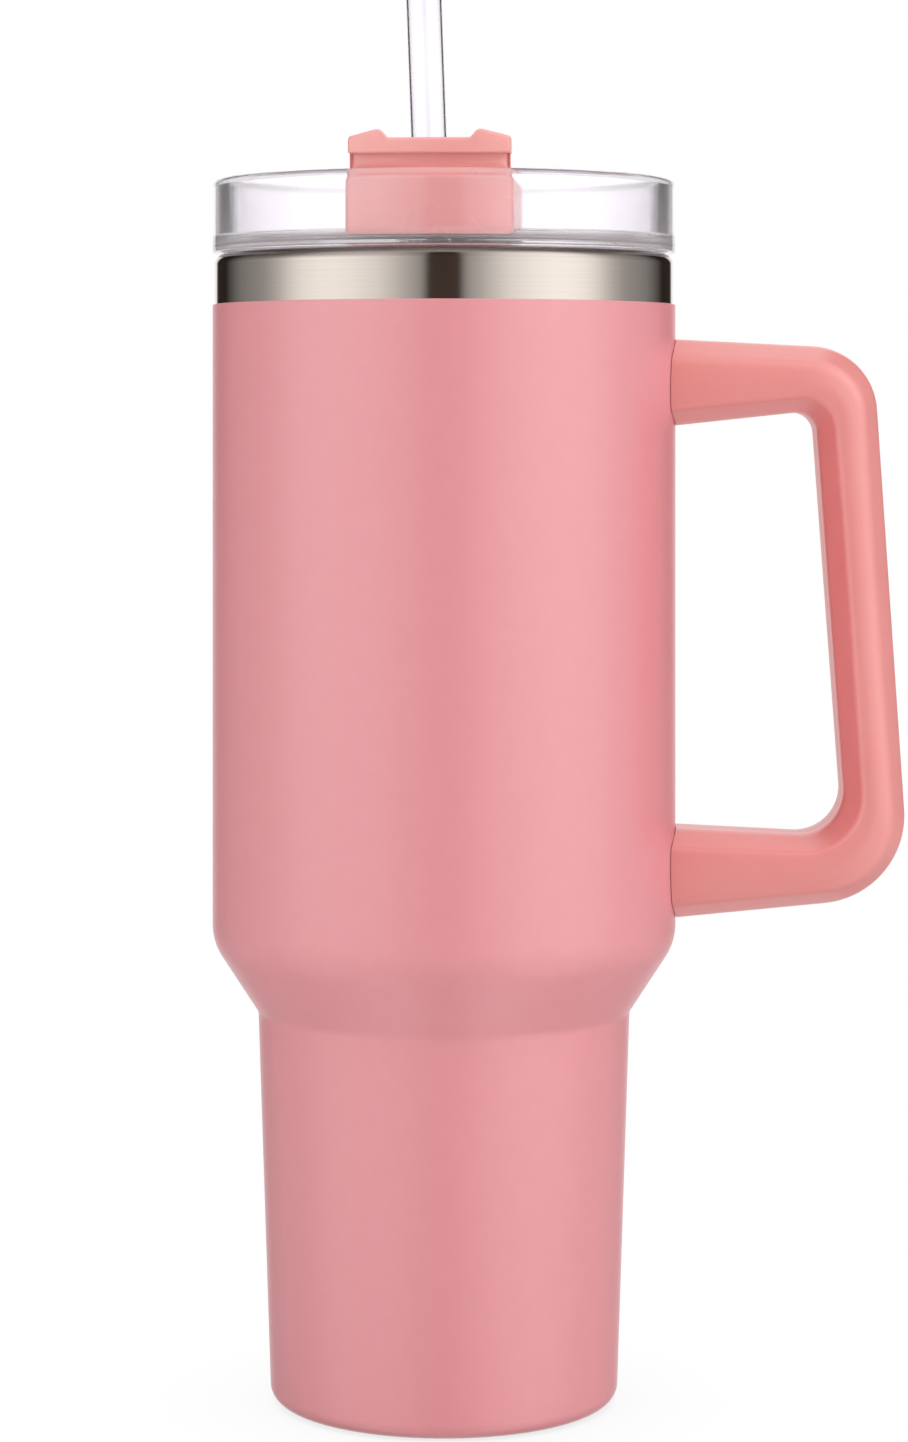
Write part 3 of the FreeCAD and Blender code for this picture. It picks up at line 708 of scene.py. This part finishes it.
plug_poly = subdivide(rounded([(0.0, -1.0), (2.88, -1.0), (2.88, 0.95, 0.3), (2.2, 1.05, 0.4), (0.0, 0.9)], False, 12.0), 0.8, False)
plug_objs = []
for x, z in SCREWS:
    p = lathe("plug", plug_poly, 48)
    p.data.transform(Matrix.Translation((x * MM, (HANDLE_HALF - 2.05) * MM, z * MM)) @ Matrix.Rotation(-math.pi / 2, 4, "X"))
    plug_objs.append(p)
bm = bmesh.new()
for p in plug_objs:
    bm.from_mesh(p.data)
    bpy.data.objects.remove(p)
plugs = new_object("handle_plugs", bm)
dress(plugs, "handle", "plug_pink", "vessel", "handle_screw_plugs")

# ------------------------------------------------------------------ lid
lid_poly = rounded(
    [
        (HUB_BORE_R, DECK_TOP_Z - DECK_T, 0.15),
        (SKIRT_IN_R, DECK_TOP_Z - DECK_T, 1.0),
        (SKIRT_IN_R, SKIRT_LOW_Z, 0.6),
        (SKIRT_R, SKIRT_LOW_Z, 0.8),
        (SKIRT_R, 239.6, 0.1),
        (43.3, 239.6, 0.1),
        (43.3, 244.0, 0.1),
        (SKIRT_R, 244.0, 0.1),
        (SKIRT_R, FLANGE_Z, 0.3),
        (LID_R, FLANGE_Z, 0.5),
        (LID_R, LID_TOP_Z, 1.3),
        (LID_R - LID_WALL_T, LID_TOP_Z, 1.3),
        (LID_R - LID_WALL_T - 0.25, DECK_TOP_Z, DECK_FILLET),
        (BOSS_R, DECK_TOP_Z, 0.5),
        (BOSS_R, BOSS_TOP_Z, 0.6),
        (HUB_BORE_R, BOSS_TOP_Z, 0.2),
    ], True, 9.0)
lid = lathe("lid_clear_body", subdivide(supported(lid_poly, True), 4.0, True), 256)
boolean(lid, prism("cutter", arc_slot_loop(SLOT_R, SLOT_W, SLOT_FROM, SLOT_TO, 40), 244.5, 252.0))
vx, vy = polar(SLOT_R, 180)
boolean(lid, prism("cutter", circle_loop(1.5, vx, vy, 32), 244.5, 252.0))
lid.data.transform(Matrix.Rotation(TURN, 4, "Z"))
soften(lid, 30.0)
dress(lid, "lid", "clear_plastic", "lid", "lid_body")

seal_poly = rounded(
    [(43.35, 239.8, 0.3), (45.0, 239.8, 0.3), (46.55, 240.7, 0.25), (46.55, 241.3, 0.25), (45.2, 241.75, 0.2),
     (46.55, 242.5, 0.25), (46.55, 243.1, 0.25), (45.0, 243.8, 0.3), (43.35, 243.8, 0.3)], True, 15.0)
seal = lathe("lid_seal_ring", seal_poly, 192)
dress(seal, "seal", "seal_silicone", "lid", "lid_seal")


# ------------------------------------------------------------------ turning cover
def tongue_loop(half, fr, corner, n=40):
    """Plan of the cover: straight flanks, front an arc of radius fr about the pivot with soft corners, round back."""
    pts = []
    yf = -math.sqrt(fr * fr - half * half)
    a0 = math.atan2(half, -yf)
    # corner centre: corner inside the flank and inside the front arc
    cx = half - corner
    cy = -math.sqrt((fr - corner) ** 2 - cx * cx)
    ang_front = math.atan2(cy, cx)
    out = []
    for k in range(9):
        a = 0 + (ang_front - 0) * k / 8
        out.append((cx + corner * math.cos(a), cy + corner * math.sin(a)))
    m = 28
    a1, a2 = ang_front, -math.pi - ang_front
    for k in range(1, m):
        a = a1 + (a2 - a1) * k / m
        out.append((fr * math.cos(a), fr * math.sin(a)))
    for k in range(9):
        a = a2 + (-math.pi - a2) * k / 8
        out.append((-cx + corner * math.cos(a), cy + corner * math.sin(a)))
    for k in range(n + 1):
        a = math.radians(180 - 180 * k / n)
        out.append((half * math.cos(a), half * math.sin(a)))
    return out


def stacked(name, loops, cap_first=True, cap_last=True, smooth_deg=30.0):
    """Loops of equal point count joined in order; each is (list of xy, z)."""
    bm = bmesh.new()
    vr = [[bm.verts.new((x * MM, y * MM, z * MM)) for x, y in loop] for loop, z in loops]
    n = len(vr[0])
    for a, b in zip(vr[:-1], vr[1:]):
        for k in range(n):
            m = (k + 1) % n
            bm.faces.new((a[k], a[m], b[m], b[k]))
    if cap_first:
        bm.faces.new(vr[0][::-1])
    if cap_last:
        bm.faces.new(vr[-1])
    return new_object(name, bm, smooth_deg)


H, F = COVER_HALF_W, COVER_FRONT_R
loops = [(tongue_loop(H - 0.25, F - 0.25, 1.6), COVER_LOW_Z), (tongue_loop(H, F, 1.8), COVER_LOW_Z + 0.25)]
loops.append((tongue_loop(H, F, 1.8), COVER_TOP_Z - 1.5))
for k in range(1, 9):
    a = math.radians(90 * k / 8)
    d = 1.5 * (1 - math.cos(a))
    loops.append((tongue_loop(H - d, F - d, 1.8), COVER_TOP_Z - 1.5 + 1.5 * math.sin(a)))
block = stacked("cover_block", loops)
hollow = stacked("cutter", [
    (tongue_loop(H - COVER_WALL, F - 2.2, 0.8), COVER_LOW_Z - 1),
    (tongue_loop(H - COVER_WALL, F - 2.2, 0.8), COVER_TOP_Z - 2.2)])
boolean(block, hollow)
for y in (-8.0, 6.0):
    boolean(block, prism("cutter", [(-40, y - 1.2), (40, y - 1.2), (40, y + 1.2), (-40, y + 1.2)], COVER_LOW_Z - 1, COVER_LOW_Z + 0.8))
gx, gy, gz = STRAW_AT
boolean(block, prism("cutter", circle_loop(5.45, gx, gy, 64), 255.0, 270.0))
soften(block, 30.0)


def loft_x(name, xs, section, smooth_deg=32.0):
    """Convex YZ sections lofted along X."""
    bm = bmesh.new()
    rows = [[bm.verts.new((x * MM, y * MM, z * MM)) for y, z in section(x)] for x in xs]
    n = len(rows[0])
    for a, b in zip(rows[:-1], rows[1:]):
        for k in range(n):
            m = (k + 1) % n
            bm.faces.new((a[k], a[m], b[m], b[k]))
    bm.faces.new(rows[0])
    bm.faces.new(rows[-1][::-1])
    return new_object(name, bm, smooth_deg)


def end_inset(x, half, r):
    """How far a section shrinks near the rolled ends of the piece."""
    d = half - abs(x)
    return r - math.sqrt(max(0.0, r * r - (r - d) ** 2)) if d < r else 0.0


def spread(half, r, n):
    xs = [-half + r * (1 - math.cos(math.radians(90 * k / 6))) for k in range(6)]
    mid = [-half + r + (2 * half - 2 * r) * k / n for k in range(n + 1)]
    return xs + mid + [-x for x in reversed(xs)]


def soft_rect(y0, y1, z0, z1, r00, r10, r11, r01):
    """Corners (y0,z0), (y1,z0), (y1,z1), (y0,z1) rounded by their own radii."""
    return rounded([(y0, z0, r00), (y1, z0, r10), (y1, z1, r11), (y0, z1, r01)], True, 18.0)


# stem under the cap, set back behind the cap's lip
def stem_section(x):
    d = end_inset(x, 16.6, 1.3)
    f = -(STEM_FRONT - x * x / (2 * 60.0)) + d
    foot = -(COVER_FRONT_R - 1.0 - x * x / (2 * 60.0)) + d
    return rounded([(foot, COVER_TOP_Z - 2.0), (foot, COVER_TOP_Z - 0.4, 0.2), (f, COVER_TOP_Z + 1.7, 2.6),
                    (f, CAP_LOW_Z + 0.9), (-STEM_BACK - d, CAP_LOW_Z + 0.9), (-STEM_BACK - d, COVER_TOP_Z - 2.0)], True, 12.0)


stem = loft_x("cover_stem", spread(16.6, 1.3, 30), stem_section)

# cap: two ears and a dip along its top, front a shallow arc in plan, edges rolled
TOP = [(-16.8, CAP_END_Z), (-10.7, CAP_EAR_Z), (-9.9, CAP_EAR_Z - 0.12), (-8.7, CAP_DIP_Z),
       (8.7, CAP_DIP_Z), (9.9, CAP_EAR_Z - 0.12), (10.7, CAP_EAR_Z), (16.8, CAP_END_Z)]


def cap_top(x):
    """The cap's top line, its corners softened by averaging over a short stretch."""
    total = 0.0
    for k in range(-4, 5):
        xx = max(-16.8, min(16.8, x + k * 0.12))
        for (xa, za), (xb, zb) in zip(TOP[:-1], TOP[1:]):
            if xa <= xx <= xb:
                total += za + (zb - za) * (xx - xa) / (xb - xa)
                break
    return total / 9


def cap_section(x):
    d = end_inset(x, 16.8, 0.6)
    f = -(CAP_FRONT - x * x / (2 * 64.0)) + d
    return soft_rect(f, -CAP_BACK - d, CAP_LOW_Z + d * 0.6, cap_top(x) - d, 0.45, 0.4, 0.5, 0.8)


cap = loft_x("cover_cap", spread(16.8, 0.6, 132), cap_section)

# spindle in the lid's boss with the groove for its clip and two driving flats
hub_poly = rounded(
    [(3.4, 241.6, 0.2), (HUB_R, 241.6, 0.5), (HUB_R, 243.2), (4.0, 243.2), (4.0, 244.7), (HUB_R, 244.7),
     (HUB_R, COVER_TOP_Z - 1.8), (3.4, COVER_TOP_Z - 1.8)], True, 12.0)
hub = lathe("cover_hub", subdivide(hub_poly, 3.0, True), 96)
for s in (-1, 1):
    boolean(hub, prism("cutter", [(-10, s * 4.4), (10, s * 4.4), (10, s * 10), (-10, s * 10)][::s], 240.0, DECK_TOP_Z - DECK_T - 0.05))
soften(hub, 30.0)
collar = lathe("cover_collar", subdivide(rounded(
    [(5.45, COVER_TOP_Z - 4.2, 0.2), (7.4, COVER_TOP_Z - 4.2, 0.3), (7.4, COVER_TOP_Z - 1.0), (5.45, COVER_TOP_Z - 1.0)], True, 12.0), 2.0, True), 96)
collar.data.transform(Matrix.Translation((gx * MM, gy * MM, 0)))

bm = bmesh.new()
for part in (block, stem, cap, hub, collar):
    bm.from_mesh(part.data)
    bpy.data.objects.remove(part)
me = bpy.data.meshes.new("cover_body")
bm.to_mesh(me)
bm.free()
cover = bpy.data.objects.new("cover_body", me)
bpy.context.scene.collection.objects.link(cover)
for p in me.polygons:
    p.use_smooth = True
cover.data.transform(Matrix.Rotation(TURN, 4, "Z"))
dress(cover, "cover", "cover_pink", "cover", "turning_cover")

# ------------------------------------------------------------------ grommet, disc, straw
LEAN = Vector((STRAW_LEAN[0], STRAW_LEAN[1], 1.0)).normalized()


def lean_matrix():
    """Takes a part drawn about Z, with Z heights kept, onto the straw's axis."""
    q = Vector((0, 0, 1)).rotation_difference(LEAN)
    at = Vector(STRAW_AT) * MM
    return Matrix.Rotation(TURN, 4, "Z") @ Matrix.Translation(at) @ q.to_matrix().to_4x4() @ Matrix.Translation((0, 0, -STRAW_AT[2] * MM))


grom_poly = rounded(
    [(3.86, 256.7, 0.25), (6.1, 256.7, 0.5), (6.1, 257.75, 0.2), (5.35, 257.75, 0.1), (5.35, 262.05, 0.1),
     (6.35, 262.05, 0.2), (6.35, 262.9, 0.5), (4.9, 263.3, 0.5), (3.86, 263.0, 0.3)], True, 12.0)
grommet = lathe("straw_grommet_ring", grom_poly, 96)
grommet.data.transform(Matrix.Rotation(TURN, 4, "Z") @ Matrix.Translation((gx * MM, gy * MM, 0)))
dress(grommet, "grommet", "grommet_silicone", "cover", "straw_grommet")

disc_poly = rounded(
    [(0.0, DISC_TOP_Z - DISC_T), (DISC_R, DISC_TOP_Z - DISC_T, 0.5), (DISC_R, DISC_TOP_Z, 0.4), (0.0, DISC_TOP_Z)], False, 12.0)
disc = lathe("sealing_disc_plate", subdivide(disc_poly, 5.0, False), 160)
dee = [(x, max(-4.46, min(4.46, y))) for x, y in circle_loop(HUB_R + 0.06, 0, 0, 96)]
boolean(disc, prism("cutter", dee, 240.0, 250.0))
z_mid = DISC_TOP_Z - DISC_T / 2
sx = gx + (z_mid - gz) * STRAW_LEAN[0]
sy = gy + (z_mid - gz) * STRAW_LEAN[1]
boolean(disc, prism("cutter", circle_loop(4.5, sx, sy, 64), 240.0, 250.0))
boolean(disc, prism("cutter", arc_slot_loop(SLOT_R, 9.0, -58.0, -46.0, 8), 240.0, 250.0))
vx, vy = polar(SLOT_R, 120)
boolean(disc, prism("cutter", circle_loop(1.5, vx, vy, 32), 240.0, 250.0))
disc.data.transform(Matrix.Rotation(TURN, 4, "Z"))
soften(disc, 30.0)
dress(disc, "disc", "disc_clear", "cover", "sealing_disc")

zt = STRAW_AT[2] + (STRAW_TOP_Z - STRAW_AT[2]) / LEAN.z
zb = STRAW_AT[2] - (STRAW_AT[2] - STRAW_LOW_Z) / LEAN.z
tube_poly = rounded([(STRAW_IN_R, zb, 0.15), (STRAW_R, zb, 0.2), (STRAW_R, zt, 0.2), (STRAW_IN_R, zt, 0.15)], True, 18.0)
tube = lathe("straw_tube", subdivide(supported(tube_poly, True), 8.0, True), 96)
tube.data.transform(lean_matrix())
dress(tube, "straw", "straw_clear", "straw", "straw")

# ------------------------------------------------------------------ CAD nodes shown as they are
for name, mat in (
    ("radiation_foil", "foil"), ("vacuum_seal_bead", "bead"), ("base_disc", "sheet"), ("getter_pill", "getter"),
    ("getter_holder", "sheet"), ("upper_bracket", "sheet"), ("lower_bracket", "sheet"), ("handle_screws", "screw"),
    ("spindle_clip", "screw"),
):
    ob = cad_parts[name]
    ob.data.materials.clear()
    ob.data.materials.append(MAT[mat])

# ------------------------------------------------------------------ stage: floor, world, camera
scene = bpy.context.scene
bm = bmesh.new()
bmesh.ops.create_grid(bm, x_segments=8, y_segments=8, size=30.0)
floor = new_object("floor", bm)
floor.location = (0, 0, -0.0002)
m = bpy.data.materials.new("floor_white")
m.use_nodes = True
nt = m.node_tree
nt.nodes.clear()
out = node(nt, "ShaderNodeOutputMaterial")
diff = node(nt, "ShaderNodeBsdfDiffuse")
# the floor gives back less light close round the object
tex = node(nt, "ShaderNodeTexCoord")
far = node(nt, "ShaderNodeVectorMath", operation="LENGTH")
nt.links.new(tex.outputs["Object"], far.inputs[0])
fr = ramp(nt, [(0.06, (0.66, 0.66, 0.66)), (0.22, (0.80, 0.80, 0.80)), (0.6, (0.94, 0.94, 0.94))])
nt.links.new(far.outputs["Value"], fr.inputs["Fac"])
nt.links.new(fr.outputs["Color"], diff.inputs["Color"])
# painted contact shadow: the camera sees the floor as glowing white, darkened by ambient occlusion close round the
# object
emit = node(nt, "ShaderNodeEmission")
ao = node(nt, "ShaderNodeAmbientOcclusion")
ao.samples = 8
ao.inputs["Distance"].default_value = 0.03
r = ramp(nt, [(0.0, (0.80, 0.79, 0.79)), (0.55, (0.97, 0.965, 0.965)), (1.0, (1.0, 1.0, 1.0))])
nt.links.new(ao.outputs["AO"], r.inputs["Fac"])
nt.links.new(r.outputs["Color"], emit.inputs["Color"])
lp = node(nt, "ShaderNodeLightPath")
mix = node(nt, "ShaderNodeMixShader")
nt.links.new(lp.outputs["Is Camera Ray"], mix.inputs["Fac"])
nt.links.new(diff.outputs[0], mix.inputs[1])
nt.links.new(emit.outputs[0], mix.inputs[2])
nt.links.new(mix.outputs[0], out.inputs["Surface"])
floor.data.materials.append(m)
# the panels reach below the horizon in reflections, so their soft bands run down the whole body
floor.visible_glossy = False

# studio: two tall soft panels left and right of the camera, a white backdrop, dim gaps between
world = bpy.data.worlds.new("studio")
scene.world = world
world.use_nodes = True
nt = world.node_tree
nt.nodes.clear()
out = node(nt, "ShaderNodeOutputWorld")
bg = node(nt, "ShaderNodeBackground")
tex = node(nt, "ShaderNodeTexCoord")
sep = node(nt, "ShaderNodeSeparateXYZ")
nt.links.new(tex.outputs["Generated"], sep.inputs[0])
neg = node(nt, "ShaderNodeMath", operation="MULTIPLY")
neg.inputs[1].default_value = -1.0
nt.links.new(sep.outputs["Y"], neg.inputs[0])
ax = node(nt, "ShaderNodeMath", operation="ABSOLUTE")
nt.links.new(sep.outputs["X"], ax.inputs[0])
at = node(nt, "ShaderNodeMath", operation="ARCTAN2")
nt.links.new(ax.outputs[0], at.inputs[0])
nt.links.new(neg.outputs[0], at.inputs[1])
div = node(nt, "ShaderNodeMath", operation="DIVIDE")
div.inputs[1].default_value = math.pi
nt.links.new(at.outputs[0], div.inputs[0])
g = lambda v: (v, v, v)
# position 0 is towards the camera, 1 straight behind
r = ramp(nt, [
    (0.0, (0.093, 0.065, 0.054)), (0.040, (0.093, 0.068, 0.056)), (0.055, g(0.42)), (0.067, g(0.60)), (0.09, g(0.74)),
    (0.133, g(1.07)), (0.18, g(1.42)), (0.25, g(1.72)), (0.31, g(1.85)), (0.36, g(1.83)), (0.405, g(1.69)),
    (0.435, g(1.51)), (0.461, g(1.28)), (0.491, g(0.99)), (0.523, g(0.75)), (0.557, g(0.58)), (0.593, g(0.49)),
    (0.631, g(0.43)), (0.672, g(0.35)), (0.72, g(0.19)), (0.775, (0.038, 0.027, 0.023)), (0.872, (0.038, 0.027, 0.023)),
    (0.886, g(1.15)), (1.0, g(1.15))])
nt.links.new(div.outputs[0], r.inputs["Fac"])
# near the zenith the panels give way to a soft top light
el = node(nt, "ShaderNodeMapRange")
el.inputs["From Min"].default_value = 0.72
el.inputs["From Max"].default_value = 0.9
nt.links.new(sep.outputs["Z"], el.inputs["Value"])
# the right-hand panel is a little stronger, most of all above the object
high = node(nt, "ShaderNodeMapRange")
high.inputs["From Min"].default_value = 0.20
high.inputs["From Max"].default_value = 0.50
high.inputs["To Min"].default_value = 0.05
high.inputs["To Max"].default_value = 0.45
nt.links.new(sep.outputs["Z"], high.inputs["Value"])
tilt = node(nt, "ShaderNodeMath", operation="MULTIPLY_ADD")
tilt.inputs[2].default_value = 1.0
nt.links.new(high.outputs["Result"], tilt.inputs[0])
nt.links.new(sep.outputs["X"], tilt.inputs[1])
side = node(nt, "ShaderNodeVectorMath", operation="SCALE")
# below the horizon the panels fade towards an even tone
low = node(nt, "ShaderNodeMapRange")
for key, v in (("From Min", -0.25), ("From Max", 0.0), ("To Min", 0.55), ("To Max", 0.0)):
    low.inputs[key].default_value = v
nt.links.new(sep.outputs["Z"], low.inputs["Value"])
fade = node(nt, "ShaderNodeMix", data_type="RGBA")
nt.links.new(low.outputs["Result"], fade.inputs["Factor"])
nt.links.new(r.outputs["Color"], fade.inputs["A"])
fade.inputs["B"].default_value = (0.72, 0.72, 0.72, 1)
nt.links.new(fade.outputs["Result"], side.inputs[0])
nt.links.new(tilt.outputs[0], side.inputs["Scale"])
mixc = node(nt, "ShaderNodeMix", data_type="RGBA")
nt.links.new(el.outputs["Result"], mixc.inputs["Factor"])
nt.links.new(side.outputs[0], mixc.inputs["A"])
mixc.inputs["B"].default_value = (1.05, 1.05, 1.05, 1)
lp = node(nt, "ShaderNodeLightPath")
mixw = node(nt, "ShaderNodeMix", data_type="RGBA")
nt.links.new(lp.outputs["Is Camera Ray"], mixw.inputs["Factor"])
nt.links.new(mixc.outputs["Result"], mixw.inputs["A"])
mixw.inputs["B"].default_value = (1, 1, 1, 1)
nt.links.new(mixw.outputs["Result"], bg.inputs["Color"])
bg.inputs["Strength"].default_value = 1.0
nt.links.new(bg.outputs[0], out.inputs["Surface"])
world.cycles.sampling_method = "MANUAL"
world.cycles.sample_map_resolution = 512

scene.cycles.max_bounces = 32
scene.cycles.glossy_bounces = 16
scene.cycles.transmission_bounces = 32
scene.cycles.transparent_max_bounces = 32
scene.view_settings.view_transform = "Standard"
scene.view_settings.look = "None"
scene.view_settings.exposure = 0.0

cam_data = bpy.data.cameras.new("camera")
cam = bpy.data.objects.new("camera", cam_data)
scene.collection.objects.link(cam)
cam.location = (0.0, -0.830, 0.2132)
cam.rotation_euler = (math.pi / 2, 0, 0)
cam_data.sensor_width = 36.0
cam_data.lens = 3835 / 1442 * 36.0
cam_data.clip_start, cam_data.clip_end = 0.01, 100.0
scene.camera = cam
# the lens is shifted only while the camera stands at its own place
for prop, value in (("shift_x", 0.00693), ("shift_y", -0.21498)):
    setattr(cam_data, prop, value)
    drv = cam_data.driver_add(prop).driver
    drv.type = "SCRIPTED"
    var = drv.variables.new()
    var.name = "v"
    var.type = "TRANSFORMS"
    var.targets[0].id = cam
    var.targets[0].transform_type = "LOC_Y"
    var.targets[0].transform_space = "WORLD_SPACE"
    drv.expression = "%.5f if abs(v + 0.83) < 0.001 else 0.0" % value
